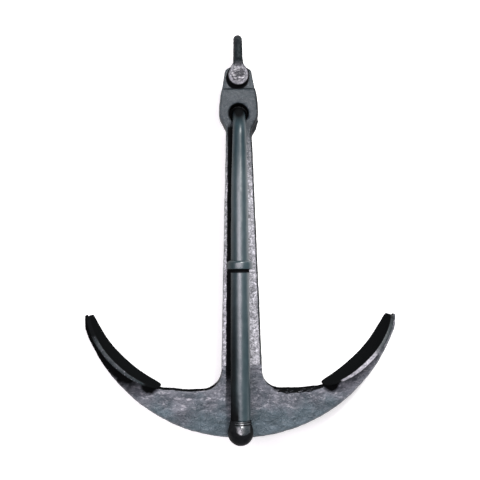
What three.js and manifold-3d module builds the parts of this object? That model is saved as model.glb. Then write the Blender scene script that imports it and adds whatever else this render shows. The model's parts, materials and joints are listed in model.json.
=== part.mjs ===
// Admiralty pattern anchor with its stock folded along the shank, lying on its back.
//
// Frame: +X across the arms, +Y along the shank towards the shackle, +Z up, out of the anchor's
// front. The origin is under the middle of the whole object, on the surface it lies on. The
// pieces are drawn from the crown: y = 0 at the lowest point of the arms' outer curve, z = 0
// half way through the shank. LYING carries them to the frame above. Millimetres throughout.

import * as THREE from 'three';
import { mergeVertices } from 'three/addons/utils/BufferGeometryUtils.js';
import Module from 'manifold-3d';

const wasm = await Module();
wasm.setup();

// ---------------------------------------------------------------- driving dimensions

const PIECE_GAP = 0.3;          // between welded or seated pieces

// arms and crown, one forging
const ARM_OUTER_R = 431;        // outer curve, centred ARM_OUTER_R above the crown
const ARM_HALF_SPAN = 407;      // tip to centre line
const BIGHT_R = 276;            // inner curve of each arm
const BIGHT_X = 132;            // its centre, each side of the shank
const BIGHT_Y = 401;
const TIP_Y_LEFT = 325;         // where the bills are cut square
const TIP_Y_RIGHT = 318;
const CROWN_HALF_DEPTH = 27;
const TIP_HALF_DEPTH = 17;
const ARM_CHAMFER = 6;
const ARM_STEPS = 32;           // sections along each arm
const CROWN_STEPS = 10;         // sections between the two arms
const THROAT_R = 50;            // fillet between arm and shank

// palms, bent plates welded into the arms' inner curves
const PALM_THICK = 11;
const PALM_SINK = 5;            // how far the palms are let into the arms
const PALM_HALF_WIDTH = 88;
const PALM_END_HALF_WIDTH = 26; // at both ends, where the outline rounds in to the arm
const PALM_TOE_LEFT = 16.5;     // degrees below the bight centre's level
const PALM_TOE_RIGHT = 18;
const PALM_HEEL = 73;
const PALM_SEAT_RAMP = 6;       // degrees in which the arm's seat sinks to its depth
const PALM_HEEL_THICK = 5;      // drawn thin where it runs into the arm
const PALM_TOE_ROUND = 0.5;     // share of the length that the toe's curve takes
const PALM_HEEL_ROUND = 0.42;
const PALM_STEPS = 44;

// shank, a tapered bar with a head
const SHANK_HALF_DEPTH = 28;
const SHANK_CHAMFER = 5;
const SEAM_Y = 184;             // where the shank is welded to the crown's stub
const SEAM_HALF_WIDTH = 53;
const NECK_Y = 786;
const NECK_HALF_WIDTH = 34.5;
const HEAD_HALF_WIDTH = 51.5;
const HEAD_TOP_Y = 914;
const HEAD_TOP_HALF_WIDTH = 44;
const HEAD_REAR_HALF_DEPTH = 20; // of the fuller part behind the right side of the neck
const STOCK_HOLE_Y = 848;
const STOCK_HOLE_R = 25;
const STOCK_HOLE_LIP = 4;       // chamfer round both mouths

// tongue, the thin end of the shank that the shackle straddles
const TONGUE_HALF_DEPTH = 14;
const TONGUE_HALF_WIDTH = 36;
const TONGUE_SHOULDER_Y = 962;
const TONGUE_TOP_Y = 978;
const TONGUE_CORNER_R = 12;

// shackle and its riveted pin
const PIN_Y = 949;
const PIN_R = 11.5;
const PIN_CLEARANCE = 0.6;
const PIN_HEAD_R = 19;
const PIN_HEAD_RISE = 4;
const LUG_R = 29;
const LUG_IN = 16;              // inner face of each lug, from the middle plane
const LUG_OUT = 31;
const LUG_TOP_Y = 984;          // where the lug has narrowed to the bow's bar
const BOW_R = 12;               // radius of the bow's round bar
const BOW_LEG_Z = 30;
const BOW_TOP_Y = 1060;

// stock: one round bar, bent and drawn down where it passes through the head
const BEND_R = 63.5;            // centre line of the bend
const BEND_BAR_R = 16.2;
const LEG_TOP_BAR_R = 17.6;
const WAIST_Y = 660;            // end of the drawn-down stretch
const WAIST_BAR_R = 21.4;
const COLLAR_Y = 440;           // lower face of the collar
const COLLAR_BAR_R = 23.6;
const LEG_END_BAR_R = 25.5;
const COLLAR_R = 33;
const COLLAR_LENGTH = 21;
const COLLAR_ROUND = 7;
const BALL_Y = 22;
const BALL_R = 33;
const BALL_NECK_R = 27.5;
const BALL_TOP_Y = 54;
const BALL_SHOULDER = 0.62;     // share of the radius at which the ball runs into its neck
const REAR_BALL_R = 33;
const REAR_BALL_FLAT = 0.86;    // share of the radius at which it is flat against the bar
const SHORT_LEG = 55;           // middle plane to rear ball centre
const STOCK_LEAN = -0.45;       // degrees that the folded stock lies off the shank's line

const ROUND_SIDES = 28;

// ---------------------------------------------------------------- worked out

const BEND_Y = STOCK_HOLE_Y - BEND_R;
const LENGTH_MIDDLE = (BOW_TOP_Y + BALL_Y - BALL_R) / 2;
const LYING = new THREE.Vector3(0, -LENGTH_MIDDLE, PALM_HALF_WIDTH);

// ---------------------------------------------------------------- geometry helpers

/** A closed solid through rings of equal length, with a flat cap at each end. */
function loft(rings) {
  const count = rings[0].length;
  const points = rings.flat();
  const faces = [];
  for (let r = 0; r + 1 < rings.length; r += 1) {
    for (let i = 0; i < count; i += 1) {
      const a = r * count + i;
      const b = r * count + (i + 1) % count;
      faces.push(a, b, b + count, a, b + count, a + count);
    }
  }
  const last = (rings.length - 1) * count;
  for (let i = 1; i + 1 < count; i += 1) {
    faces.push(0, i + 1, i, last, last + i, last + i + 1);
  }
  const geometry = new THREE.BufferGeometry();
  const numbers = points.flatMap((point) => point.toArray());
  geometry.setAttribute('position', new THREE.Float32BufferAttribute(numbers, 3));
  geometry.setIndex(faces);
  return geometry;
}

/** A solid for joining and cutting, from a closed geometry. */
function toSolid(geometry) {
  const bare = geometry.clone();
  bare.deleteAttribute('normal');
  bare.deleteAttribute('uv');
  const merged = mergeVertices(bare, 1e-4);
  const vertProperties = new Float32Array(merged.attributes.position.array);
  const triVerts = new Uint32Array(merged.index.array);
  return new wasm.Manifold(new wasm.Mesh({ numProp: 3, vertProperties, triVerts }));
}

/** The geometry of a solid. */
function toGeometry(solid) {
  const mesh = solid.getMesh();
  const geometry = new THREE.BufferGeometry();
  geometry.setAttribute('position', new THREE.BufferAttribute(new Float32Array(mesh.vertProperties), 3));
  geometry.setIndex(new THREE.BufferAttribute(new Uint32Array(mesh.triVerts), 1));
  geometry.computeVertexNormals();
  return geometry;
}

/** An outline in x and y made into a plate of the given half depth, its edges chamfered. */
function plate(shape, halfDepth, chamfer) {
  const geometry = new THREE.ExtrudeGeometry(shape, {
    depth: 2 * (halfDepth - chamfer),
    bevelEnabled: true,
    bevelThickness: chamfer,
    bevelSize: chamfer,
    bevelOffset: -chamfer,
    bevelSegments: 1,
    curveSegments: 8,
  });
  geometry.translate(0, 0, -(halfDepth - chamfer));
  return geometry;
}

/** A solid of revolution about a line along z through (0, y), from [radius, z] pairs. */
function turnedAlongZ(profile, y) {
  const geometry = new THREE.LatheGeometry(profile.map(([r, z]) => new THREE.Vector2(r, z)), ROUND_SIDES);
  geometry.rotateX(Math.PI / 2);
  geometry.translate(0, y, 0);
  return geometry;
}

/** A solid of revolution about the long leg's centre line, from [radius, y] pairs. */
function turnedAlongY(profile) {
  const geometry = new THREE.LatheGeometry(profile.map(([r, y]) => new THREE.Vector2(r, y)), ROUND_SIDES);
  geometry.translate(0, 0, BEND_R);
  return geometry;
}

/** The [radius, height] pairs of a ball, from one height above its centre to another. */
function ballProfile(radius, centre, low, high, steps) {
  const from = Math.asin(low / radius);
  const to = Math.asin(high / radius);
  return Array.from({ length: steps + 1 }, (_, i) => {
    const angle = from + (to - from) * i / steps;
    return [radius * Math.cos(angle), centre + radius * Math.sin(angle)];
  });
}

/** Symmetric outline from its right-hand side, given upwards as [x, y] pairs. */
function mirroredShape(right) {
  const left = right.map(([x, y]) => [-x, y]).reverse();
  return new THREE.Shape([...right, ...left].map(([x, y]) => new THREE.Vector2(x, y)));
}

/** Points of an arc, in degrees from +x, as [x, y] pairs. */
function arcPoints(x, y, radius, from, to, steps) {
  return Array.from({ length: steps + 1 }, (_, i) => {
    const angle = THREE.MathUtils.degToRad(from + (to - from) * i / steps);
    return [x + radius * Math.cos(angle), y + radius * Math.sin(angle)];
  });
}

// ---------------------------------------------------------------- arms and crown

/** Where the arms' outer curve lies, going down at x. */
function outerCurve(x) {
  return ARM_OUTER_R - Math.sqrt(ARM_OUTER_R ** 2 - x ** 2);
}

/** Radius of the arm's inner curve, at a turn in degrees from straight down. */
function innerRadius(turn) {
  const seatFrom = 90 - PALM_HEEL - 1;
  const ramp = THREE.MathUtils.clamp((turn - seatFrom) / PALM_SEAT_RAMP + 1, 0, 1);
  return BIGHT_R + PALM_SINK * ramp;
}

/** One section of the right arm: inner and outer point, at a turn in degrees from straight down. */
function armSection(turn) {
  const angle = THREE.MathUtils.degToRad(turn);
  const ray = new THREE.Vector2(Math.sin(angle), -Math.cos(angle));
  const centre = new THREE.Vector2(BIGHT_X, BIGHT_Y);
  const inner = centre.clone().addScaledVector(ray, innerRadius(turn));
  // distance along the ray to the outer circle, whose centre is (0, ARM_OUTER_R)
  const toCentre = new THREE.Vector2(0, ARM_OUTER_R).sub(centre);
  const along = toCentre.dot(ray);
  const reach = along + Math.sqrt(along ** 2 + ARM_OUTER_R ** 2 - toCentre.lengthSq());
  const outer = centre.clone().addScaledVector(ray, reach);
  outer.x = Math.min(outer.x, ARM_HALF_SPAN);
  return { inner, outer };
}

/** Eight points round a section of an arm, its four long edges chamfered. */
function armRing(inner, outer, halfDepth) {
  const across = outer.clone().sub(inner);
  const cut = Math.min(ARM_CHAMFER, across.length() * 0.3);
  const step = across.normalize().multiplyScalar(cut);
  const insideEdge = inner.clone().add(step);
  const outsideEdge = outer.clone().sub(step);
  const flat = halfDepth - cut;
  const at = (p, z) => new THREE.Vector3(p.x, p.y, z);
  return [
    at(inner, flat), at(insideEdge, halfDepth), at(outsideEdge, halfDepth), at(outer, flat),
    at(outer, -flat), at(outsideEdge, -halfDepth), at(insideEdge, -halfDepth), at(inner, -flat),
  ];
}

/** Sections of one arm from the crown to the cut tip. side is 1 on the right, -1 on the left. */
function armRings(side) {
  const tipY = side > 0 ? TIP_Y_RIGHT : TIP_Y_LEFT;
  const tipTurn = THREE.MathUtils.radToDeg(Math.acos((BIGHT_Y - tipY) / (BIGHT_R + PALM_SINK)));
  const rings = [];
  for (let i = 0; i <= ARM_STEPS; i += 1) {
    const share = i / ARM_STEPS;
    const { inner, outer } = armSection(tipTurn * share);
    if (i === ARM_STEPS) {
      outer.set(ARM_HALF_SPAN, tipY);
    }
    inner.x *= side;
    outer.x *= side;
    rings.push(armRing(inner, outer, THREE.MathUtils.lerp(CROWN_HALF_DEPTH, TIP_HALF_DEPTH, share)));
  }
  return rings;
}

/** The stub that the shank is welded to, with the curved throats on both sides of it. */
function crownStub() {
  const bottom = BIGHT_Y - BIGHT_R;
  const throatX = SEAM_HALF_WIDTH + THROAT_R;
  const throat = arcPoints(throatX, bottom + THROAT_R, THROAT_R, 270, 184, 8);
  const right = [
    [throatX, bottom - 40],
    ...throat,
    [SEAM_HALF_WIDTH, SEAM_Y - PIECE_GAP],
  ];
  return plate(mirroredShape(right), CROWN_HALF_DEPTH, ARM_CHAMFER);
}

/** Upright sections between the arms, under the shank. */
function crownRings() {
  const bottom = BIGHT_Y - BIGHT_R;
  return Array.from({ length: CROWN_STEPS - 1 }, (_, i) => {
    const x = THREE.MathUtils.lerp(-BIGHT_X, BIGHT_X, (i + 1) / CROWN_STEPS);
    return armRing(new THREE.Vector2(x, bottom), new THREE.Vector2(x, outerCurve(x)), CROWN_HALF_DEPTH);
  });
}

function crownAndArms() {
  const arms = loft([...armRings(-1).reverse(), ...crownRings(), ...armRings(1)]);
  return toGeometry(toSolid(arms).add(toSolid(crownStub())));
}

// ---------------------------------------------------------------- palms

/** Half the palm's width at a share of its length, from toe to heel. */
function palmHalfWidth(share) {
  const rise = PALM_HALF_WIDTH - PALM_END_HALF_WIDTH;
  const toe = Math.max(0, (PALM_TOE_ROUND - share) / PALM_TOE_ROUND);
  const heel = Math.max(0, (share - 1 + PALM_HEEL_ROUND) / PALM_HEEL_ROUND);
  return PALM_END_HALF_WIDTH + rise * Math.sqrt(1 - Math.max(toe, heel) ** 2);
}

/** side is 1 on the right, -1 on the left. */
function palm(side) {
  const back = BIGHT_R + PALM_SINK - PIECE_GAP;
  const toe = side > 0 ? PALM_TOE_RIGHT : PALM_TOE_LEFT;
  const rings = [];
  for (let i = 0; i <= PALM_STEPS; i += 1) {
    const share = (1 - Math.cos(Math.PI * i / PALM_STEPS)) / 2;
    const angle = THREE.MathUtils.degToRad(THREE.MathUtils.lerp(toe, PALM_HEEL, share));
    const at = (radius, z) => new THREE.Vector3(
      side * (BIGHT_X + radius * Math.cos(angle)),
      BIGHT_Y - radius * Math.sin(angle),
      z,
    );
    const half = palmHalfWidth(share);
    const thin = Math.max(0, (share - 1 + PALM_HEEL_ROUND) / PALM_HEEL_ROUND);
    const front = back - THREE.MathUtils.lerp(PALM_THICK, PALM_HEEL_THICK, thin);
    const ring = [at(front, half), at(front, -half), at(back, -half), at(back, half)];
    rings.push(side > 0 ? ring : ring.reverse());
  }
  return loft(rings);
}

// ---------------------------------------------------------------- shank

/** The head's lower right corner, fuller behind than in front. */
function headCorner() {
  const points = [
    [0, NECK_Y - 20], [NECK_HALF_WIDTH, NECK_Y + 4], [NECK_HALF_WIDTH + 12, NECK_Y + 24],
    [HEAD_HALF_WIDTH, NECK_Y + 44], [HEAD_HALF_WIDTH - 2, STOCK_HOLE_Y], [0, STOCK_HOLE_Y],
  ];
  const shape = new THREE.Shape(points.map(([x, y]) => new THREE.Vector2(x, y)));
  const geometry = plate(shape, HEAD_REAR_HALF_DEPTH, SHANK_CHAMFER);
  geometry.translate(0, 0, HEAD_REAR_HALF_DEPTH - SHANK_HALF_DEPTH);
  return geometry;
}

function shankBar() {
  const head = [
    [NECK_HALF_WIDTH, NECK_Y],
    [NECK_HALF_WIDTH, NECK_Y + 20],
    [HEAD_HALF_WIDTH - 2, STOCK_HOLE_Y - 13],
    [HEAD_HALF_WIDTH, STOCK_HOLE_Y - 4],
    [HEAD_HALF_WIDTH, STOCK_HOLE_Y + 10],
    [HEAD_HALF_WIDTH - 1, STOCK_HOLE_Y + 28],
    [HEAD_HALF_WIDTH - 4, STOCK_HOLE_Y + 52],
    [HEAD_TOP_HALF_WIDTH, HEAD_TOP_Y],
  ];
  return plate(mirroredShape([[SEAM_HALF_WIDTH, SEAM_Y], ...head]), SHANK_HALF_DEPTH, SHANK_CHAMFER);
}

function tongue() {
  const corner = arcPoints(
    TONGUE_HALF_WIDTH - TONGUE_CORNER_R, TONGUE_SHOULDER_Y - 4, TONGUE_CORNER_R, 10, 70, 4,
  );
  const foot = HEAD_TOP_HALF_WIDTH - 0.5;
  const right = [[foot, HEAD_TOP_Y - 12], [foot, HEAD_TOP_Y], ...corner];
  return plate(mirroredShape([...right, [7, TONGUE_TOP_Y]]), TONGUE_HALF_DEPTH, 2);
}

/** The stock's hole with its chamfered mouths, as the solid that is cut away. */
function stockHole() {
  const mouth = STOCK_HOLE_R + STOCK_HOLE_LIP;
  const lip = SHANK_HALF_DEPTH - STOCK_HOLE_LIP;
  const past = SHANK_HALF_DEPTH + 1;
  return turnedAlongZ([
    [0, -past], [mouth + 1, -past], [STOCK_HOLE_R, -lip], [STOCK_HOLE_R, lip], [mouth + 1, past], [0, past],
  ], STOCK_HOLE_Y);
}

function shank() {
  const bore = PIN_R + PIN_CLEARANCE;
  const past = TONGUE_HALF_DEPTH + 1;
  const pinBore = turnedAlongZ([[0, -past], [bore, -past], [bore, past], [0, past]], PIN_Y);
  const solid = toSolid(shankBar()).add(toSolid(tongue())).add(toSolid(headCorner()));
  return toGeometry(solid.subtract(toSolid(stockHole())).subtract(toSolid(pinBore)));
}

// ---------------------------------------------------------------- shackle

/** One lug: a disc round the pin that narrows to the bow's bar. side is 1 in front. */
function lug(side) {
  const round = arcPoints(0, PIN_Y, LUG_R, -90, 34, 14);
  const shape = mirroredShape([...round, [BOW_R + 4, LUG_TOP_Y - 9], [BOW_R, LUG_TOP_Y]]);
  const thick = LUG_OUT - LUG_IN;
  const geometry = plate(shape, thick / 2, 2);
  geometry.translate(0, 0, side * (LUG_IN + thick / 2));
  return geometry;
}

/** Stations of the bow's bar: each leg flattens as it runs into its lug. */
function bowStations() {
  const archY = BOW_TOP_Y - BOW_R - BOW_LEG_Z;
  const thick = LUG_OUT - LUG_IN;
  const leg = [
    { y: PIN_Y + PIN_HEAD_R + 0.5, z: LUG_IN + thick / 2, turn: 0, wide: LUG_R - 11, deep: thick / 2 - 1 },
    { y: LUG_TOP_Y - 4, z: LUG_IN + thick / 2 + 3, turn: 0, wide: BOW_R + 2, deep: thick / 2 + 3 },
    { y: LUG_TOP_Y + 8, z: BOW_LEG_Z, turn: 0, wide: BOW_R, deep: BOW_R },
  ];
  const arch = arcPoints(0, 0, BOW_LEG_Z, 0, 180, 16).map(([z, y]) => (
    { y: archY + y, z, turn: Math.atan2(y, z), wide: BOW_R, deep: BOW_R }
  ));
  const farLeg = leg.map((station) => ({ ...station, z: -station.z, turn: Math.PI })).reverse();
  return [...leg, ...arch, ...farLeg];
}

function shackleBow() {
  const rings = bowStations().map(({ y, z, turn, wide, deep }) => (
    Array.from({ length: 16 }, (_, i) => {
      const angle = 2 * Math.PI * i / 16;
      const across = wide * Math.sin(angle);
      const out = deep * Math.cos(angle);
      return new THREE.Vector3(across, y + out * Math.sin(turn), z + out * Math.cos(turn));
    })
  ));
  const bore = PIN_R + PIECE_GAP;
  const past = LUG_OUT + 1;
  const hole = turnedAlongZ([[0, -past], [bore, -past], [bore, past], [0, past]], PIN_Y);
  const gap = new THREE.BoxGeometry(4 * LUG_R, LUG_TOP_Y + 4 - (PIN_Y - 2 * LUG_R), 2 * LUG_IN);
  gap.translate(0, (LUG_TOP_Y + 4 + PIN_Y - 2 * LUG_R) / 2, 0);
  const solid = toSolid(loft(rings)).add(toSolid(lug(1))).add(toSolid(lug(-1)));
  return toGeometry(solid.subtract(toSolid(hole)).subtract(toSolid(gap)));
}

/** The pin, its two ends hammered over into low domes. */
function shacklePin() {
  const seat = LUG_OUT + PIECE_GAP;
  const dome = [
    [PIN_HEAD_R, seat],
    [PIN_HEAD_R - 1, seat + PIN_HEAD_RISE / 2],
    [PIN_HEAD_R / 2, seat + PIN_HEAD_RISE - 1],
    [0, seat + PIN_HEAD_RISE],
  ];
  const front = [[PIN_R, seat], ...dome];
  const back = front.map(([r, z]) => [r, -z]).reverse();
  return turnedAlongZ([...back, ...front], PIN_Y);
}

// ---------------------------------------------------------------- stock

/** Centre line of the stock's bar from the rear ball, through the head, and down the front. */
function stockStations() {
  const start = SHORT_LEG - REAR_BALL_FLAT * REAR_BALL_R - PIECE_GAP;
  const stations = [
    { y: STOCK_HOLE_Y, z: -start, turn: 0, radius: BEND_BAR_R },
    { y: STOCK_HOLE_Y, z: -1, turn: 0, radius: BEND_BAR_R },
  ];
  const steps = 14;
  for (let i = 0; i <= steps; i += 1) {
    const turn = Math.PI / 2 * i / steps;
    stations.push({
      y: BEND_Y + BEND_R * Math.cos(turn),
      z: BEND_R * Math.sin(turn),
      turn,
      radius: THREE.MathUtils.lerp(BEND_BAR_R, LEG_TOP_BAR_R, (i / steps) ** 2),
    });
  }
  const leg = [[WAIST_Y, WAIST_BAR_R], [COLLAR_Y, COLLAR_BAR_R], [BALL_TOP_Y + PIECE_GAP, LEG_END_BAR_R]];
  leg.forEach(([y, radius]) => stations.push({ y, z: BEND_R, turn: Math.PI / 2, radius }));
  return stations;
}

function stockBar() {
  return loft(stockStations().map(({ y, z, turn, radius }) => (
    Array.from({ length: ROUND_SIDES }, (_, i) => {
      const angle = 2 * Math.PI * i / ROUND_SIDES;
      const across = -radius * Math.sin(angle);
      const out = radius * Math.cos(angle);
      return new THREE.Vector3(across, y + out * Math.cos(turn), z + out * Math.sin(turn));
    })
  )));
}

/** A ring shrunk on the long leg: it stops the stock in the head's hole when it is run out. */
function stockCollar() {
  const top = COLLAR_Y + COLLAR_LENGTH;
  const bore = COLLAR_BAR_R + PIECE_GAP;
  const shoulder = arcPoints(COLLAR_R - COLLAR_ROUND, top - COLLAR_ROUND, COLLAR_ROUND, 0, 90, 4);
  const foot = [[bore, COLLAR_Y], [COLLAR_R - 1, COLLAR_Y], [COLLAR_R, COLLAR_Y + 1]];
  return turnedAlongY([...foot, ...shoulder, [bore, top], [bore, COLLAR_Y]]);
}

/** Ball with a necked top, at the end of the long leg. */
function frontBall() {
  const ball = ballProfile(BALL_R, BALL_Y, -BALL_R, BALL_SHOULDER * BALL_R, 14);
  const neck = [
    [BALL_NECK_R, BALL_TOP_Y - 7],
    [BALL_NECK_R, BALL_TOP_Y - 2],
    [BALL_NECK_R - 2, BALL_TOP_Y],
    [0, BALL_TOP_Y],
  ];
  return turnedAlongY([...ball, ...neck]);
}

/** Ball on the short leg, behind the head: wider than the hole, so that it can't pull through. */
function rearBall() {
  const ball = ballProfile(REAR_BALL_R, -SHORT_LEG, -REAR_BALL_R, REAR_BALL_FLAT * REAR_BALL_R, 14);
  return turnedAlongZ([...ball, [0, -SHORT_LEG + REAR_BALL_FLAT * REAR_BALL_R]], STOCK_HOLE_Y);
}

// ---------------------------------------------------------------- assembly

const PAINTED_FORGING = { color: 0x596269, roughness: 0.5, metalness: 0.3 };
const PAINTED_PLATE = { color: 0x2a2d2f, roughness: 0.5, metalness: 0.3 };
const PAINTED_BAR = { color: 0x47545a, roughness: 0.35, metalness: 0.35 };
const BARE_HAMMERED = { color: 0x75787e, roughness: 0.45, metalness: 0.6 };

function piece(name, geometry, finish) {
  const mesh = new THREE.Mesh(geometry, new THREE.MeshStandardMaterial(finish));
  mesh.name = name;
  return mesh;
}

const anchor = new THREE.Group();
anchor.position.copy(LYING);
anchor.add(piece('crown_and_arms', crownAndArms(), PAINTED_FORGING));
anchor.add(piece('palm_left', palm(-1), PAINTED_PLATE));
anchor.add(piece('palm_right', palm(1), PAINTED_PLATE));
anchor.add(piece('shank', shank(), PAINTED_FORGING));

const shackle = new THREE.Group();
shackle.add(piece('shackle_bow', shackleBow(), PAINTED_PLATE));
shackle.add(piece('shackle_pin', shacklePin(), BARE_HAMMERED));
anchor.add(shackle);

const stock = new THREE.Group();
stock.rotation.z = THREE.MathUtils.degToRad(STOCK_LEAN);
stock.position.set(
  STOCK_HOLE_Y * Math.sin(stock.rotation.z), STOCK_HOLE_Y * (1 - Math.cos(stock.rotation.z)), 0,
);
stock.add(piece('stock_bar', stockBar(), PAINTED_BAR));
stock.add(piece('stock_collar', stockCollar(), PAINTED_BAR));
stock.add(piece('stock_ball_front', frontBall(), PAINTED_BAR));
stock.add(piece('stock_ball_rear', rearBall(), PAINTED_BAR));
anchor.add(stock);

export default anchor;
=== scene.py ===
"""Looks of the admiralty pattern anchor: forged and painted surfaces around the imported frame."""

import json
import math

import bmesh
import bpy
import numpy as np
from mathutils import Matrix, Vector, noise

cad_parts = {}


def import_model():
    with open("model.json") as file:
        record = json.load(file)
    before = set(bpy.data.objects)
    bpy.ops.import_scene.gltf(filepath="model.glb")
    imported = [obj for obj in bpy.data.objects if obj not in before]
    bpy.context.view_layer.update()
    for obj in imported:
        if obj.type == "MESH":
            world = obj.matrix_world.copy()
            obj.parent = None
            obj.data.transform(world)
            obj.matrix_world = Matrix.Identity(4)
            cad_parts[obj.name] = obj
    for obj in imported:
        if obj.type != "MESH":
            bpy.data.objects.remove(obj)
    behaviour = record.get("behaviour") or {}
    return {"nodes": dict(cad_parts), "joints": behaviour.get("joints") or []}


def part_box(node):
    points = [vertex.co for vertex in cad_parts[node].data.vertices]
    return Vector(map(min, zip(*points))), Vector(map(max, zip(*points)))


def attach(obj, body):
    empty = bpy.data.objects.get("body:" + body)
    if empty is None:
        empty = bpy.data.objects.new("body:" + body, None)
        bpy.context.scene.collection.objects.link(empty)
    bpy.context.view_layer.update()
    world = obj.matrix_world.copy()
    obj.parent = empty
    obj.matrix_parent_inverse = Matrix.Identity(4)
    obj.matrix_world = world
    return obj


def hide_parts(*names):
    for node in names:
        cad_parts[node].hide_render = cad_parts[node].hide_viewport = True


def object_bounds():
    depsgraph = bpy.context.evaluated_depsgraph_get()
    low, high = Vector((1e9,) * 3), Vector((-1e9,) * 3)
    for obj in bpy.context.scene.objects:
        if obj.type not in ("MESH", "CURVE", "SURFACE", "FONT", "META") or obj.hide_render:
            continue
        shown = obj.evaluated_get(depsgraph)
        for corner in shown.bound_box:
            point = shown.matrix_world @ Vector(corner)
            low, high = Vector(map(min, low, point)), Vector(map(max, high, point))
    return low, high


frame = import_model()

CAD_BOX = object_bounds()
JOINTS = {joint["name"]: joint for joint in frame["joints"]}

# ------------------------------------------------------------------ driving dimensions, metres

MM = 0.001
SKIN_MARGIN = 0.1 * MM          # the forged skins stay this far inside the whole anchor's box
CAD_LOW = np.array(CAD_BOX[0]) + SKIN_MARGIN
CAD_HIGH = np.array(CAD_BOX[1]) - SKIN_MARGIN
SKIN_GAP = 0.3 * MM             # between the pieces of the stock, and between ball and bar
TIP_R = 0.2 * MM                # a turned body's ends close on a ring as small as this

# radius of the stock's bar, from its bend down to the front ball
BEND_BAR_R = 16.2 * MM
LEG_TOP_BAR_R = 17.6 * MM
WAIST_DROP = 188 * MM           # below the stock's hole, where the drawn-down stretch ends
WAIST_BAR_R = 21.4 * MM
COLLAR_BAR_R = 23.6 * MM
LEG_END_BAR_R = 25.5 * MM

HINGE = JOINTS["stock_fold"]
HINGE_PLACE = Vector(HINGE["pos_m"])
PIN_PLACE = JOINTS["shackle_swing"]["pos_m"]
LUG_FACE_R = 24.5 * MM          # hammered face inside the lug's round edge
COLLAR_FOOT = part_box("stock_collar")[0].y
HOLE_MIDDLE = (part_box("stock_ball_rear")[0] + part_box("stock_ball_rear")[1]) / 2
HOLE_R = 25 * MM                # the stock's hole through the head

SEAM_HALF_WIDTH = 52 * MM
SHANK_HALF_DEPTH = 28 * MM
SHANK_MIDDLE = HINGE_PLACE.z    # above the floor
HEAD_FACE = SHANK_MIDDLE + SHANK_HALF_DEPTH

BIGHT_R = 276 * MM              # inner curve of each arm
LEFT_BIGHT = (-132 * MM, -123.5 * MM)    # its centres
RIGHT_BIGHT = (132 * MM, -123.5 * MM)
PALM_HEEL = 73                  # degrees below the bights' centres, where the palms end

# middles of the painted shadows, and of the strip of painted shade on the right arm's inner edge
LEFT_HEEL_SHADOW = (-241 * MM, -383 * MM)
RIGHT_HEEL_SHADOW = (234 * MM, -385 * MM)
LEFT_TOE_SHADOW = (-395 * MM, -200 * MM)
LEFT_ARM_SHADOW_MIDDLE = (-430 * MM, -200 * MM)
RIGHT_SHADE_STRIP_MIDDLE = (152 * MM, -400 * MM)
STOCK_SHADOW_LEAN = 0.0192             # of the painted shadow beside the stock, across per length

SIDE_SHADE = (0.0105, 0.0125, 0.014)           # painted shade on the sides of the dark paint
SHADOW_BLACK = (0.0052, 0.0057, 0.0060)          # painted shadow: near black

FLOOR_HALF = 6.0
CAMERA_PLACE = (-0.0753, -0.0734, 2.3936)
CAMERA_TURN = (0.02858, -0.03224, -0.01234)
CAMERA_LENS = 65.57             # millimetres


def heel_end(bight, side):
    """Where a palm's heel ends; side is -1 on the left and 1 on the right."""
    angle = math.radians(PALM_HEEL)
    radius = BIGHT_R - 1 * MM
    return (bight[0] + side * radius * math.cos(angle), bight[1] - radius * math.sin(angle))


# ------------------------------------------------------------------ meshes

def new_object(name, mesh):
    obj = bpy.data.objects.new(name, mesh)
    bpy.context.scene.collection.objects.link(obj)
    return obj


def smooth_shaded(mesh):
    mesh.polygons.foreach_set("use_smooth", [True] * len(mesh.polygons))
    mesh.update()


def remeshed_copy(node, name, voxel):
    """A new object with the CAD node's shape, remeshed evenly."""
    obj = new_object(name, frame["nodes"][node].data.copy())
    obj.data.materials.clear()
    modifier = obj.modifiers.new("even", "REMESH")
    modifier.mode = "VOXEL"
    modifier.voxel_size = voxel
    modifier.adaptivity = 0.0
    graph = bpy.context.evaluated_depsgraph_get()
    even = bpy.data.meshes.new_from_object(obj.evaluated_get(graph))
    obj.modifiers.clear()
    coarse = obj.data
    obj.data = even
    bpy.data.meshes.remove(coarse)
    even.name = name
    return obj


def coordinates(mesh):
    co = np.empty(len(mesh.vertices) * 3, np.float64)
    mesh.vertices.foreach_get("co", co)
    return co.reshape(-1, 3)


def set_coordinates(mesh, co):
    mesh.vertices.foreach_set("co", co.ravel())
    mesh.update()


def relax(mesh, rounds, strength=0.5):
    """Rounds off edges: each vertex moves towards the middle of its neighbours."""
    edges = np.empty(len(mesh.edges) * 2, np.int64)
    mesh.edges.foreach_get("vertices", edges)
    edges = edges.reshape(-1, 2)
    co = coordinates(mesh)
    count = np.bincount(edges.ravel(), minlength=len(co)).astype(float)[:, None]
    for _ in range(rounds):
        total = np.zeros_like(co)
        np.add.at(total, edges[:, 0], co[edges[:, 1]])
        np.add.at(total, edges[:, 1], co[edges[:, 0]])
        co += strength * (total / np.maximum(count, 1) - co)
    set_coordinates(mesh, co)


def normals(mesh):
    out = np.empty(len(mesh.vertices) * 3, np.float64)
    mesh.vertices.foreach_get("normal", out)
    return out.reshape(-1, 3)


def forge(mesh, layers, seed, bias=0.5):
    """Presses the skin of a forging in and out. layers are (bumps per metre, depth) pairs."""
    co = coordinates(mesh)
    out = normals(mesh)
    depth = np.zeros(len(co))
    for index, (scale, amount) in enumerate(layers):
        shift = Vector((seed * 7.3 + index * 3.1, seed * 1.7, index * 5.9))
        values = [noise.fractal(Vector(p) * scale + shift, 0.9, 2.1, 3) for p in co]
        depth += amount * (np.clip(values, -1, 1) - bias)
    set_coordinates(mesh, np.clip(co + out * depth[:, None], CAD_LOW, CAD_HIGH))


def forged(node, name, voxel, rounds, layers, seed, bias=0.5):
    """The forging that stands for a solid: its skin evened out, its edges worn round, then dented."""
    obj = remeshed_copy(node, name, voxel)
    relax(obj.data, rounds)
    forge(obj.data, layers, seed, bias)
    smooth_shaded(obj.data)
    return obj


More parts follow.
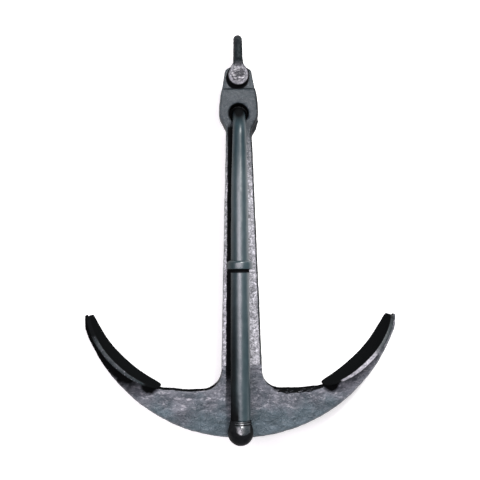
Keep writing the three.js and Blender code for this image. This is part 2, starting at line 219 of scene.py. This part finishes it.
def lofted(name, rings):
    """A smooth closed skin through rings of points."""
    mesh = bpy.data.meshes.new(name)
    count = len(rings[0])
    vertices = [p for ring in rings for p in ring]
    faces = []
    for r in range(len(rings) - 1):
        for i in range(count):
            a = r * count + i
            b = r * count + (i + 1) % count
            faces.append((a, b, b + count, a + count))
    last = (len(rings) - 1) * count
    faces.append(tuple(reversed(range(count))))
    faces.append(tuple(range(last, last + count)))
    mesh.from_pydata(vertices, [], faces)
    mesh.update()
    bm = bmesh.new()
    bm.from_mesh(mesh)
    bmesh.ops.recalc_face_normals(bm, faces=bm.faces)
    bm.to_mesh(mesh)
    bm.free()
    smooth_shaded(mesh)
    return new_object(name, mesh)


def arc(radius, middle, start, end, steps):
    """(distance from axis, height) pairs on a circle, in degrees from the outward direction."""
    angles = [math.radians(start + (end - start) * i / steps) for i in range(steps + 1)]
    return [(middle[0] + radius * math.cos(a), middle[1] + radius * math.sin(a)) for a in angles]


def turned(name, profile, place, sides=72, rough=0.0, seed=0):
    """A body of revolution from (radius, height) pairs; place turns (x, y, height) into the frame."""
    rings = []
    for radius, height in profile:
        ring = []
        for i in range(sides):
            a = 2 * math.pi * i / sides
            point = Vector((math.cos(a), math.sin(a), height * 40))
            push = rough * noise.fractal(point * 1.4 + Vector((seed, 0, 0)), 1.0, 2.0, 3)
            r = max(radius - abs(push), 0.01 * MM)
            ring.append(place(r * math.cos(a), r * math.sin(a), height))
        rings.append(ring)
    return lofted(name, rings)


# ------------------------------------------------------------------ material nodes

def node_material(name):
    material = bpy.data.materials.new(name)
    material.use_nodes = True
    tree = material.node_tree
    shader = tree.nodes["Principled BSDF"]
    return material, tree, shader


def add(tree, kind, **values):
    node = tree.nodes.new(kind)
    for key, value in values.items():
        if key in node.inputs:
            node.inputs[key].default_value = value
        else:
            setattr(node, key, value)
    return node


def place_on_piece(tree):
    return add(tree, "ShaderNodeTexCoord").outputs["Object"]


def place_parts(tree):
    """The X, Y and Z of a place on the piece."""
    parts = add(tree, "ShaderNodeSeparateXYZ")
    tree.links.new(place_on_piece(tree), parts.inputs["Vector"])
    return parts.outputs


def object_noise(tree, scale, detail=4.0, roughness=0.55, distortion=0.0, stretch=(1, 1, 1)):
    """A noise field fixed to the piece, scale in features per metre."""
    mapping = add(tree, "ShaderNodeMapping")
    mapping.inputs["Scale"].default_value = stretch
    field = add(tree, "ShaderNodeTexNoise")
    field.inputs["Scale"].default_value = scale
    field.inputs["Detail"].default_value = detail
    field.inputs["Roughness"].default_value = roughness
    field.inputs["Distortion"].default_value = distortion
    tree.links.new(place_on_piece(tree), mapping.inputs["Vector"])
    tree.links.new(mapping.outputs["Vector"], field.inputs["Vector"])
    return field.outputs["Fac"]


def ramp(tree, value, stops):
    node = add(tree, "ShaderNodeValToRGB")
    elements = node.color_ramp.elements
    while len(elements) < len(stops):
        elements.new(0.5)
    for element, (place, colour) in zip(elements, stops):
        element.position = place
        element.color = (*colour, 1.0)
    tree.links.new(value, node.inputs["Fac"])
    return node.outputs["Color"]


def colour_value(tree, colour):
    node = add(tree, "ShaderNodeRGB")
    node.outputs[0].default_value = (*colour, 1.0)
    return node.outputs[0]


def mixed(tree, factor, first, second):
    """Blends two colours; factor 0 gives the first."""
    node = add(tree, "ShaderNodeMix", data_type="RGBA")
    tree.links.new(factor, node.inputs["Factor"])
    tree.links.new(first, node.inputs[6])
    tree.links.new(second, node.inputs[7])
    return node.outputs[2]


def blended(tree, factor, first, second):
    """Blends two numbers; factor 0 gives the first."""
    node = add(tree, "ShaderNodeMix", data_type="FLOAT")
    tree.links.new(factor, node.inputs["Factor"])
    tree.links.new(first, node.inputs["A"])
    tree.links.new(second, node.inputs["B"])
    return node.outputs["Result"]


def constant(tree, number):
    node = add(tree, "ShaderNodeValue")
    node.outputs[0].default_value = number
    return node.outputs[0]


def combined(tree, operation, first, second):
    node = add(tree, "ShaderNodeMath", operation=operation)
    tree.links.new(first, node.inputs[0])
    tree.links.new(second, node.inputs[1])
    return node.outputs[0]


def product(tree, first, *others):
    for other in others:
        first = combined(tree, "MULTIPLY", first, other)
    return first


def spread(tree, value, low, high, to_low=0.0, to_high=1.0):
    """Stretches the range from low to high over the range from to_low to to_high, and clamps."""
    node = add(tree, "ShaderNodeMapRange")
    node.inputs["From Min"].default_value = low
    node.inputs["From Max"].default_value = high
    node.inputs["To Min"].default_value = to_low
    node.inputs["To Max"].default_value = to_high
    tree.links.new(value, node.inputs["Value"])
    return node.outputs["Result"]


def inverse(tree, mask, least=0.0):
    """1 where a mask is 0, and the least value where it is 1."""
    return spread(tree, mask, 0.0, 1.0, 1.0, least)


def wavered(tree, distance, scale, detail, waver):
    """A distance made uneven by up to the waver either way, for ragged borders."""
    uneven = spread(tree, object_noise(tree, scale, detail=detail), 0.3, 0.7, -waver, waver)
    return combined(tree, "ADD", distance, uneven)


def bumped(tree, shader, layers):
    """Stacks bump layers: (noise scale, detail, roughness, distortion), strength, depth in metres."""
    normal = None
    for texture, strength, depth in layers:
        bump = add(tree, "ShaderNodeBump")
        bump.inputs["Strength"].default_value = strength
        bump.inputs["Distance"].default_value = depth
        tree.links.new(object_noise(tree, *texture), bump.inputs["Height"])
        if normal is not None:
            tree.links.new(normal, bump.inputs["Normal"])
        normal = bump.outputs["Normal"]
    tree.links.new(normal, shader.inputs["Normal"])


# ------------------------------------------------------------------ masks, from 0 to 1

def facing(tree, direction, low, high):
    """1 where the skin faces a direction of the piece, 0 where it faces away."""
    where = add(tree, "ShaderNodeTexCoord")
    dot = add(tree, "ShaderNodeVectorMath", operation="DOT_PRODUCT")
    tree.links.new(where.outputs["Normal"], dot.inputs[0])
    dot.inputs[1].default_value = direction
    return spread(tree, dot.outputs["Value"], low, high)


def along_length(tree, low, high, waver=0.0):
    """0 below one distance along the piece and 1 above another, with an uneven border."""
    return spread(tree, wavered(tree, place_parts(tree)["Y"], 14.0, 5.0, waver), low, high)


def near_point(tree, point, inner, outer, waver=0.0):
    """1 within a distance of a line along Z through a point of the piece, fading to 0."""
    flat = add(tree, "ShaderNodeVectorMath", operation="MULTIPLY")
    flat.inputs[1].default_value = (1, 1, 0)
    tree.links.new(place_on_piece(tree), flat.inputs[0])
    far = add(tree, "ShaderNodeVectorMath", operation="DISTANCE")
    far.inputs[1].default_value = (point[0], point[1], 0)
    tree.links.new(flat.outputs["Vector"], far.inputs[0])
    return spread(tree, wavered(tree, far.outputs["Value"], 45.0, 4.0, waver), inner, outer, 1.0, 0.0)


def inward(tree):
    """1 on the skins that look towards the middle of the anchor, 0 on those that look away."""
    where = add(tree, "ShaderNodeTexCoord")
    way = add(tree, "ShaderNodeVectorMath", operation="SUBTRACT")
    way.inputs[0].default_value = (0.0, 0.0, SHANK_MIDDLE)
    tree.links.new(where.outputs["Object"], way.inputs[1])
    unit = add(tree, "ShaderNodeVectorMath", operation="NORMALIZE")
    tree.links.new(way.outputs["Vector"], unit.inputs[0])
    dot = add(tree, "ShaderNodeVectorMath", operation="DOT_PRODUCT")
    tree.links.new(unit.outputs["Vector"], dot.inputs[0])
    tree.links.new(where.outputs["Normal"], dot.inputs[1])
    return spread(tree, dot.outputs["Value"], 0.3, 0.6)


# The functions below give 0 where painted shade and painted shadows lie black, and 1 elsewhere.

def shade_patch(point, inner, outer, waver=0.0):
    """A round patch of painted shade at a point, such as a cast shadow or the dark inside the hole."""
    def clear(tree):
        return inverse(tree, near_point(tree, point, inner, outer, waver))
    return clear


def lug_edge_shade(tree):
    """Painted shade round the lug's edge, between its hammered face and the bow beyond it."""
    face = near_point(tree, PIN_PLACE, LUG_FACE_R, LUG_FACE_R + 2 * MM)
    bow = along_length(tree, PIN_PLACE[1] + 17 * MM, PIN_PLACE[1] + 20 * MM)
    return combined(tree, "MAXIMUM", face, bow)


def palm_shadow_on_left_arm(tree):
    """Painted shadow of the left palm on its arm, close outside the palm."""
    band = near_point(tree, LEFT_BIGHT, BIGHT_R + 30 * MM, BIGHT_R + 56 * MM, 10 * MM)
    reach = near_point(tree, LEFT_ARM_SHADOW_MIDDLE, 225 * MM, 265 * MM, 6 * MM)
    return inverse(tree, product(tree, band, reach))


def shade_along_right_bight(tree):
    """A speckled strip of painted shade on the inner edge of the right arm, between shank and palm."""
    band = near_point(tree, RIGHT_BIGHT, BIGHT_R + 8.2 * MM, BIGHT_R + 9.6 * MM, 2.8 * MM)
    reach = near_point(tree, RIGHT_SHADE_STRIP_MIDDLE, 66 * MM, 74 * MM, 6 * MM)
    grit = object_noise(tree, 150.0, detail=4.0, roughness=0.7, stretch=(0.5, 1.4, 1.0))
    return inverse(tree, product(tree, band, reach, spread(tree, grit, 0.54, 0.62, 1.0, 0.45)))


def stock_shadow_on_shank(tree):
    """Painted shadow of the folded stock: a narrow strip of the front face left of it, leaning with it."""
    lean = add(tree, "ShaderNodeVectorMath", operation="DOT_PRODUCT")
    lean.inputs[1].default_value = (1.0, -STOCK_SHADOW_LEAN, 0.0)
    tree.links.new(place_on_piece(tree), lean.inputs[0])
    across = wavered(tree, lean.outputs["Value"], 60.0, 3.0, 1.2 * MM)
    left = spread(tree, across, -36.2 * MM, -34.2 * MM)
    right = spread(tree, across, -16 * MM, -12 * MM, 1.0, 0.0)
    above_foot = along_length(tree, -470 * MM, -360 * MM, 4 * MM)
    below_hole = inverse(tree, along_length(tree, 285 * MM, 300 * MM))
    return inverse(tree, product(tree, left, right, above_foot, below_hole))


def lug_shadow_on_tongue(tree):
    """Painted shadow of the lug on the tongue, close below it."""
    middle = (PIN_PLACE[0] - 2 * MM, PIN_PLACE[1] - 7 * MM)
    return inverse(tree, near_point(tree, middle, 29 * MM, 31.5 * MM))


def shade_on_stock_left(tree):
    """Painted shade on the stock's left side, more so towards the ball."""
    lower_part = inverse(tree, along_length(tree, -300 * MM, 100 * MM))
    side = product(tree, facing(tree, (-1.0, 0, 0.2), 0.25, 0.75), lower_part)
    end_part = inverse(tree, along_length(tree, -455 * MM, -395 * MM, 4 * MM))
    end = product(tree, facing(tree, (-1.0, 0, 0.0), -0.02, 0.30), end_part)
    return product(tree, inverse(tree, side, least=0.12), inverse(tree, end))


def shade_in_the_hole(tree):
    """Painted shade on the bend where it is down in the shank's hole, and on its side towards the shackle."""
    low = spread(tree, place_parts(tree)["Z"], HEAD_FACE - 4 * MM, HEAD_FACE + 2 * MM, 1.0, 0.0)
    back = facing(tree, (0.0, 1.0, 0.0), 0.30, 0.62)
    near_head = along_length(tree, 225 * MM, 245 * MM)
    return inverse(tree, product(tree, combined(tree, "MAXIMUM", back, low), near_head))


def collar_shadow(tree):
    """Painted shadow of the collar on the bar, just below it."""
    below = along_length(tree, COLLAR_FOOT - 10.5 * MM, COLLAR_FOOT - 8.5 * MM)
    above = along_length(tree, COLLAR_FOOT, COLLAR_FOOT + 1 * MM)
    return inverse(tree, product(tree, below, inverse(tree, above)))


# ------------------------------------------------------------------ paints

def mottled(tree, tones, patch_scale, speck, stretch):
    """Patchy paint with bright grains, which are painted glints where light catches the rough skin.

    tones are the dark and the light one, and speck is the grains' colour, their scale and the
    share of the noise below which they are covered.
    """
    dark, light = tones
    patches = object_noise(tree, patch_scale, detail=7.0, roughness=0.68, distortion=0.8, stretch=stretch)
    colour = ramp(tree, patches, [(0.40, dark), (0.62, light)])
    if speck is None:
        return colour
    speck_colour, speck_scale, covered = speck
    grains = object_noise(tree, speck_scale, detail=4.0, roughness=0.7, distortion=0.6, stretch=stretch)
    glinting = spread(tree, grains, covered, covered + 0.1)
    glint_share = spread(tree, patches, 0.4, 0.6, 0.3, 1.0)
    pits = spread(tree, grains, 0.34, 0.46, 0.25, 1.0)
    # painted glints: the speck colour where the grains catch the light, most on the light patches
    colour = mixed(tree, product(tree, glinting, glint_share), colour, colour_value(tree, speck_colour))
    return mixed(tree, pits, colour_value(tree, dark), colour)


def shaded_side_tone(tree, tone, patch_scale):
    """Painted shade for the sides: the side tone, mottled darker and lighter."""
    patches = object_noise(tree, patch_scale * 1.7, detail=6.0, roughness=0.7)
    dark = tuple(0.6 * part for part in tone)
    light = tuple(1.7 * part for part in tone)
    return ramp(tree, patches, [(0.38, dark), (0.64, light)])


def paint(name, tones, rough, specular, bumps, side=SIDE_SHADE, patch_scale=22.0, speck=None,
          edge=(0.7, 0.9), direction=(0, 0, 1), side_rough=0.55, side_specular=0.12,
          zone=None, painted_shade=(), shade_inside=True, stretch=(1, 1, 1)):
    """Dark marine paint with painted light and shade.

    The faces are where the skin looks in the direction, between the two values of edge; their light,
    mottled tones stand partly for the lamps' reflection on the paint, and the sides' dull, dark tones
    are painted shade. rough is the faces' least and greatest roughness. zone is a part of the piece,
    beyond a border along its length, whose faces have other tones, grains and specular.
    painted_shade holds the functions that say where painted shade and painted shadows lie black,
    and shade_inside adds painted shade on the skins that look inwards.
    """
    material, tree, shader = node_material(name)
    colour = mottled(tree, tones, patch_scale, speck, stretch)
    shine = constant(tree, specular)
    if zone is not None:
        beyond = along_length(tree, *zone["border"])
        zone_colour = mottled(tree, zone["tones"], patch_scale, zone.get("speck"), stretch)
        colour = mixed(tree, beyond, colour, zone_colour)
        shine = spread(tree, beyond, 0.0, 1.0, specular, zone.get("specular", specular))

    # 0 where painted shade and painted shadows lie black
    clear = product(tree, constant(tree, 1.0), *[black(tree) for black in painted_shade])
    front = product(tree, facing(tree, direction, *edge), clear)
    # painted shade on the sides that look inwards
    if shade_inside:
        clear = product(tree, clear, inverse(tree, inward(tree)))

    # the sides' tone is painted shade, and SHADOW_BLACK fills the painted shadows
    shaded_side = mixed(tree, clear, colour_value(tree, SHADOW_BLACK), shaded_side_tone(tree, side, patch_scale))
    tree.links.new(mixed(tree, front, shaded_side, colour), shader.inputs["Base Color"])
    worn = spread(tree, object_noise(tree, patch_scale * 2.3, detail=5.0, roughness=0.65), 0.35, 0.65, *rough)
    tree.links.new(blended(tree, front, constant(tree, side_rough), worn), shader.inputs["Roughness"])
    side_shine = spread(tree, clear, 0.0, 1.0, 0.0, side_specular)
    tree.links.new(blended(tree, front, side_shine, shine), shader.inputs["Specular IOR Level"])
    bumped(tree, shader, bumps)
    return material


# The crown's lowest part keeps darker teal tones and the rest takes lighter purple-grey ones: partly painted
# light where the faces catch the lamps, partly the paint's own tone.
BODY_PAINT = paint(
    "body_paint", tones=((0.034, 0.056, 0.069), (0.094, 0.13, 0.155)), rough=(0.32, 0.48), specular=0.7,
    bumps=[((42.0, 4.0, 0.6, 2.6), 1.0, 0.007), ((150.0, 5.0, 0.7, 1.2), 1.0, 0.003)],
    patch_scale=30.0, speck=((0.24, 0.27, 0.30), 120.0, 0.60), edge=(0.3, 0.62), stretch=(0.6, 1.25, 1.0),
    zone={
        "tones": ((0.047, 0.057, 0.072), (0.165, 0.17, 0.198)),
        "speck": ((0.44, 0.43, 0.47), 105.0, 0.55),
        "border": (-0.485, -0.425, 0.05),
    },
    painted_shade=(
        palm_shadow_on_left_arm, shade_patch(LEFT_HEEL_SHADOW, 18 * MM, 24 * MM, 3 * MM),
        shade_patch(RIGHT_HEEL_SHADOW, 18 * MM, 24 * MM, 3 * MM), stock_shadow_on_shank, shade_along_right_bight,
    ),
)
# The shank face's light tones and bright grains stand largely for the overhead lamp's reflection: painted
# reflection. The darker zone at the head is where that painted reflection fades.
SHANK_PAINT = paint(
    "shank_paint", tones=((0.065, 0.067, 0.077), (0.34, 0.34, 0.37)), rough=(0.3, 0.42), specular=0.8,
    bumps=[((110.0, 3.0, 0.6, 0.4), 0.8, 0.003), ((330.0, 4.0, 0.7, 0.0), 1.0, 0.0018)],
    patch_scale=60.0, speck=((0.70, 0.69, 0.75), 230.0, 0.5), edge=(0.55, 0.85), direction=(-0.35, 0, 0.94),
    zone={
        "tones": ((0.010, 0.018, 0.024), (0.024, 0.034, 0.041)),
        "speck": ((0.12, 0.13, 0.15), 230.0, 0.60),
        "border": (0.13, 0.28, 0.02),
        "specular": 0.5,
    },
    painted_shade=(stock_shadow_on_shank, lug_shadow_on_tongue, shade_patch(HOLE_MIDDLE, HOLE_R + 0.5 * MM, HOLE_R + 2 * MM)),
)

PALM_TONES = ((0.012, 0.018, 0.02), (0.034, 0.042, 0.046))
PALM_BUMPS = [((120.0, 3.0, 0.5, 0.4), 0.4, 0.002), ((420.0, 3.0, 0.6, 0.0), 0.6, 0.0008)]
# painted shade at each palm's heel, where the plate's end and its shadow show dark
PALM_HEEL_SHADOWS = (
    shade_patch(heel_end(LEFT_BIGHT, -1), 38 * MM, 46 * MM, 2 * MM),
    shade_patch(heel_end(RIGHT_BIGHT, 1), 40 * MM, 48 * MM, 2 * MM),
)
LEFT_PALM_PAINT = paint(
    "left_palm_paint", tones=PALM_TONES, rough=(0.35, 0.5), specular=0.18, bumps=PALM_BUMPS,
    patch_scale=40.0, speck=((0.30, 0.30, 0.34), 200.0, 0.58), edge=(0.62, 0.88),
    side_rough=0.6, side_specular=0.06,
    painted_shade=(shade_patch(LEFT_TOE_SHADOW, 50 * MM, 75 * MM, 4 * MM), *PALM_HEEL_SHADOWS),
)
# The right palm's edge towards the heel is light: a painted highlight where the lamp catches it. The zone
# towards the toe keeps the dark palm tones.
RIGHT_PALM_PAINT = paint(
    "right_palm_paint", tones=((0.14, 0.14, 0.16), (0.46, 0.45, 0.49)), rough=(0.35, 0.5), specular=0.5,
    bumps=PALM_BUMPS, patch_scale=70.0, speck=((0.6, 0.59, 0.63), 200.0, 0.55), edge=(0.62, 0.88),
    side_rough=0.6, side_specular=0.06, painted_shade=PALM_HEEL_SHADOWS,
    zone={"tones": PALM_TONES, "border": (-0.325, -0.285, 0.008), "specular": 0.3},
)
# The zone near the head is darker: painted shade where the leg meets the bend.
BAR_PAINT = paint(
    "bar_paint", tones=((0.014, 0.032, 0.039), (0.022, 0.043, 0.051)), rough=(0.33, 0.40), specular=1.0,
    bumps=[((60.0, 2.0, 0.5, 0.2), 0.12, 0.002), ((420.0, 3.0, 0.6, 0.0), 0.15, 0.0004)],
    side=(0.008, 0.016, 0.02), edge=(0.0, 0.95), direction=(0.3, 0, 0.95), side_rough=0.5, side_specular=0.1,
    zone={
        "tones": ((0.012, 0.027, 0.033), (0.019, 0.037, 0.044)),
        "border": (0.15, 0.215, 0.003),
        "specular": 0.35,
    },
    painted_shade=(shade_on_stock_left, collar_shadow, shade_in_the_hole), shade_inside=False,
)
# Only the skin that looks up and forward takes the face tones; the ball's lower half takes the near-black
# side tone as painted shade.
BALL_PAINT = paint(
    "ball_paint", tones=((0.012, 0.017, 0.02), (0.026, 0.036, 0.042)), rough=(0.22, 0.32), specular=1.0,
    bumps=[((90.0, 3.0, 0.5, 0.4), 0.3, 0.002), ((420.0, 3.0, 0.6, 0.0), 0.3, 0.0006)],
    side=(0.005, 0.0055, 0.006), edge=(0.76, 0.85), direction=(0.2, 0.6, 0.775),
    side_rough=0.5, side_specular=0.03, shade_inside=False,
)
# The rear ball is near black all over: painted shade down in the stock's hole.
REAR_BALL_PAINT = paint(
    "rear_ball_paint", tones=(SHADOW_BLACK, (0.006, 0.007, 0.008)), rough=(0.5, 0.6), specular=0.0,
    bumps=[((90.0, 3.0, 0.5, 0.4), 0.3, 0.002)], shade_inside=False,
    painted_shade=(shade_patch(HOLE_MIDDLE, HOLE_R + 1.5 * MM, HOLE_R + 4 * MM),),
)
SHACKLE_PAINT = paint(
    "shackle_paint", tones=((0.035, 0.037, 0.044), (0.20, 0.195, 0.22)), rough=(0.34, 0.46), specular=0.28,
    bumps=[((100.0, 3.0, 0.5, 1.4), 0.7, 0.004), ((500.0, 3.0, 0.6, 0.0), 0.3, 0.0006)],
    patch_scale=90.0, speck=((0.5, 0.5, 0.52), 170.0, 0.56), edge=(0.6, 1.0),
    side_rough=0.5, side_specular=0.03,
    zone={
        "tones": ((0.003, 0.006, 0.007), (0.010, 0.016, 0.018)),
        "speck": ((0.05, 0.07, 0.07), 200.0, 0.62),
        "border": (0.4475, 0.4595, 0.003),
        "specular": 0.1,
    },
    painted_shade=(lug_edge_shade,), shade_inside=False,
)
PIN_PAINT = paint(
    "pin_paint", tones=((0.026, 0.028, 0.033), (0.15, 0.147, 0.165)), rough=(0.28, 0.4), specular=0.7,
    bumps=[((80.0, 3.0, 0.5, 2.2), 1.0, 0.009), ((400.0, 3.0, 0.6, 0.0), 0.5, 0.001)],
    patch_scale=70.0, speck=((0.62, 0.61, 0.64), 120.0, 0.54), edge=(0.3, 0.8), shade_inside=False,
    stretch=(0.55, 1.3, 1.0),
)


def finish_piece(obj, body, slot, material, *nodes):
    obj.data.materials.clear()
    obj.data.materials.append(material)
    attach(obj, body)
    if nodes:
        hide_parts(*nodes)


# ------------------------------------------------------------------ anchor body

finish_piece(
    forged("crown_and_arms", "crown_and_arms_forging", 2.4 * MM, 2,
           [(12, 1.0 * MM), (50, 0.6 * MM), (150, 0.5 * MM)], 1, bias=0.25),
    "anchor", "forged_body", BODY_PAINT, "crown_and_arms")
finish_piece(
    forged("shank", "shank_forging", 2.2 * MM, 2,
           [(14, 0.8 * MM), (60, 0.4 * MM), (170, 0.4 * MM)], 2, bias=0.25),
    "anchor", "forged_body", SHANK_PAINT, "shank")
for side, seed, palm_paint in (("left", 3, LEFT_PALM_PAINT), ("right", 4, RIGHT_PALM_PAINT)):
    finish_piece(
        forged(f"palm_{side}", f"palm_{side}_plate", 1.8 * MM, 1,
               [(18, 0.5 * MM), (90, 0.25 * MM)], seed, bias=0.0),
        "anchor", "palm_plate", palm_paint, f"palm_{side}")


def seam_weld():
    """A low bead over the joint between the shank and the crown, in front and behind."""
    joint_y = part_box("shank")[0].y
    bead_r = 8.5 * MM
    rings = []
    steps = 60
    sides = 28
    for i in range(steps + 1):
        x = SEAM_HALF_WIDTH * (2 * i / steps - 1)
        wander = 1.2 * MM * noise.noise(Vector((x * 60, 0, 3)))
        swell = 1 + 0.15 * noise.noise(Vector((x * 240, 1, 9)))
        ring = []
        for j in range(sides):
            a = 2 * math.pi * j / sides
            y = joint_y + wander + bead_r * swell * math.cos(a)
            rise = math.copysign(abs(math.sin(a)) ** 0.25, math.sin(a))
            ring.append(Vector((x, y, SHANK_MIDDLE + (SHANK_HALF_DEPTH + 0.2 * MM) * rise)))
        rings.append(ring)
    return lofted("seam_weld", rings)


finish_piece(seam_weld(), "anchor", "forged_body", BODY_PAINT)


# ------------------------------------------------------------------ shackle

finish_piece(
    forged("shackle_bow", "shackle_bow_bar", 1.1 * MM, 5,
           [(40, 0.6 * MM), (130, 0.3 * MM)], 5, bias=0.2),
    "shackle", "shackle_bar", SHACKLE_PAINT, "shackle_bow")
finish_piece(
    forged("shackle_pin", "shackle_pin_riveted", 0.7 * MM, 3,
           [(70, 1.0 * MM), (190, 0.7 * MM)], 6, bias=0.8),
    "shackle", "pin_steel", PIN_PAINT, "shackle_pin")


# ------------------------------------------------------------------ stock

LEAN = math.atan2(-HINGE["axis"][1], -HINGE["axis"][0])
BALL_LOW, BALL_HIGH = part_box("stock_ball_front")
BEND_R = (BALL_LOW.z + BALL_HIGH.z) / 2 - HINGE_PLACE.z
ALONG = Vector((-math.sin(LEAN), math.cos(LEAN), 0))     # from the ball towards the head
HOLE = HINGE_PLACE + BEND_R * ALONG


def stock_point(x, along, up):
    """From the stock's own axes, whose origin is the middle of the head's hole, to the frame."""
    across = Vector((math.cos(LEAN), math.sin(LEAN), 0))
    return HOLE + across * x + ALONG * along + Vector((0, 0, up))


def leg_place(x, up, along):
    return stock_point(x, along, BEND_R + up)


def drop_of(point):
    """How far below the hole a point lies, along the leg."""
    return (HOLE - point).dot(ALONG)


COLLAR_LOW, COLLAR_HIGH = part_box("stock_collar")
COLLAR_DROP = drop_of(Vector((HOLE.x, COLLAR_LOW.y, 0)))
COLLAR_TOP = drop_of(Vector((HOLE.x, COLLAR_HIGH.y, 0)))
BALL_DROP = drop_of(Vector((HOLE.x, BALL_HIGH.y, 0)))
BALL_END = drop_of(Vector((HOLE.x, BALL_LOW.y, 0)))
BALL_R = (BALL_HIGH.z - BALL_LOW.z) / 2


def leg_radius(drop):
    """Radius of the bar at a distance below the hole."""
    stations = [(BEND_R, LEG_TOP_BAR_R), (WAIST_DROP, WAIST_BAR_R), (COLLAR_DROP, COLLAR_BAR_R),
                (BALL_DROP, LEG_END_BAR_R)]
    return float(np.interp(drop, [s[0] for s in stations], [s[1] for s in stations]))


def bar_ring(centre_along, centre_up, turn, radius, sides=64):
    """A ring round the bar; turn is 0 where the bar runs through the head, 90 degrees on the leg."""
    ring = []
    for i in range(sides):
        a = 2 * math.pi * i / sides
        out = radius * math.cos(a)
        ring.append(stock_point(
            radius * math.sin(a), centre_along + out * math.cos(turn), centre_up + out * math.sin(turn)))
    return ring


def stock_bar():
    """The short leg, the bend and the long leg, from the rear ball to the front one."""
    short_steps, bend_steps, long_steps = 12, 32, 230
    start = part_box("stock_ball_rear")[1].z - HINGE_PLACE.z + SKIN_GAP
    rings = []
    for i in range(short_steps + 1):
        rings.append(bar_ring(0, start + (-1 * MM - start) * i / short_steps, 0, BEND_BAR_R))
    for i in range(1, bend_steps + 1):
        turn = math.pi / 2 * i / bend_steps
        radius = BEND_BAR_R + (LEG_TOP_BAR_R - BEND_BAR_R) * (i / bend_steps) ** 2
        rings.append(bar_ring(-BEND_R + BEND_R * math.cos(turn), BEND_R * math.sin(turn), turn, radius))
    for i in range(1, long_steps + 1):
        drop = BEND_R + (BALL_DROP - SKIN_GAP - BEND_R) * i / long_steps
        rings.append(bar_ring(-drop, BEND_R, math.pi / 2, leg_radius(drop)))
    return lofted("stock_bar_round", rings)


bar = stock_bar()
forge(bar.data, [(24, 0.35 * MM), (110, 0.12 * MM)], 7)
finish_piece(bar, "stock", "stock_bar", BAR_PAINT, "stock_bar")


def stock_collar():
    """A ring with a soft shoulder towards the head and a sharp edge towards the ball."""
    outer = (COLLAR_HIGH.z - COLLAR_LOW.z) / 2
    bore = COLLAR_BAR_R + SKIN_GAP
    soft = 7 * MM
    edge = 2 * MM
    low, high = -COLLAR_DROP, -COLLAR_TOP
    profile = [(bore, low), (outer - edge, low)]
    profile += arc(edge, (outer - edge, low + edge), -80, 0, 4)
    profile += arc(soft, (outer - soft, high - soft), 0, 85, 8)
    profile += [(bore, high), (bore, low)]
    return turned("stock_collar_ring", profile, leg_place, rough=0.8 * MM, seed=2)


finish_piece(stock_collar(), "stock", "stock_bar", BAR_PAINT, "stock_collar")


def front_ball():
    """A ball with a bell-shaped neck and two rings, over the end of the long leg."""
    centre = -(BALL_END - BALL_R)
    top = -BALL_DROP
    bell = [(31.0, 14.0), (29.6, 18.5), (28.6, 21.0)]
    lower_ring = [(27.6, 22.2), (28.6, 23.4), (28.9, 25.2), (28.0, 26.8)]
    groove = [(26.6, 27.8), (27.4, 29.0)]
    profile = [(TIP_R, centre - BALL_R)]
    profile += arc(BALL_R, (0, centre), -88, 14, 26)
    profile += [(radius * MM, centre + height * MM) for radius, height in bell + lower_ring + groove]
    profile += [(27.4 * MM, top - 0.8 * MM), (26.6 * MM, top), (TIP_R, top)]
    return turned("stock_ball_front_forging", profile, leg_place, rough=0.7 * MM, seed=5)


finish_piece(front_ball(), "stock", "stock_bar", BALL_PAINT, "stock_ball_front")


def rear_ball():
    """A ball with a flat towards the back of the head."""
    low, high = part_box("stock_ball_rear")
    radius = (high.x - low.x) / 2
    centre = low.z - HINGE_PLACE.z + radius
    top = high.z - HINGE_PLACE.z
    flat = math.degrees(math.asin((top - centre) / radius))
    profile = [(TIP_R, centre - radius)]
    profile += arc(radius, (0, centre), -88, flat, 30)
    profile += [(TIP_R, top)]
    return turned("stock_ball_rear_forging", profile, stock_point, rough=0.6 * MM, seed=8)


finish_piece(rear_ball(), "stock", "stock_bar", REAR_BALL_PAINT, "stock_ball_rear")


# ------------------------------------------------------------------ floor, light and camera

def floor():
    mesh = bpy.data.meshes.new("floor")
    corners = [(x * FLOOR_HALF, y * FLOOR_HALF, 0) for x, y in ((-1, -1), (1, -1), (1, 1), (-1, 1))]
    mesh.from_pydata(corners, [], [(0, 1, 2, 3)])
    obj = new_object("floor", mesh)
    material, _, shader = node_material("pale_floor")
    shader.inputs["Base Color"].default_value = (0.8, 0.8, 0.8, 1)
    shader.inputs["Emission Color"].default_value = (1, 1, 1, 1)
    shader.inputs["Emission Strength"].default_value = 0.42
    shader.inputs["Roughness"].default_value = 0.9
    shader.inputs["Specular IOR Level"].default_value = 0.1
    obj.data.materials.append(material)


def area_light(name, place, target, size, power, colour=(1, 1, 1)):
    """A soft rectangular light; size is across and along, in metres, and power is in watts."""
    light = bpy.data.lights.new(name, "AREA")
    light.shape = "RECTANGLE"
    light.size, light.size_y = size
    light.energy = power
    light.color = colour
    obj = new_object(name, light)
    obj.location = place
    obj.rotation_euler = (Vector(target) - Vector(place)).to_track_quat("-Z", "Y").to_euler()


def world():
    surroundings = bpy.data.worlds.new("studio")
    bpy.context.scene.world = surroundings
    surroundings.use_nodes = True
    background = surroundings.node_tree.nodes["Background"]
    background.inputs["Color"].default_value = (1, 1, 1, 1)
    background.inputs["Strength"].default_value = 0.28


def camera():
    data = bpy.data.cameras.new("camera")
    data.lens = CAMERA_LENS
    data.sensor_width = 36.0
    obj = new_object("camera", data)
    obj.location = CAMERA_PLACE
    obj.rotation_euler = CAMERA_TURN
    bpy.context.scene.camera = obj


floor()
world()
area_light("key", place=(0.75, 1.5, 2.8), target=(0, 0, 0), size=(0.6, 0.6), power=120)
area_light("overhead", place=(-0.75, -0.05, 3.2), target=(0, -0.05, 0), size=(0.7, 2.6), power=76,
           colour=(1.0, 0.92, 1.0))
camera()
bpy.context.scene.view_settings.view_transform = "Standard"
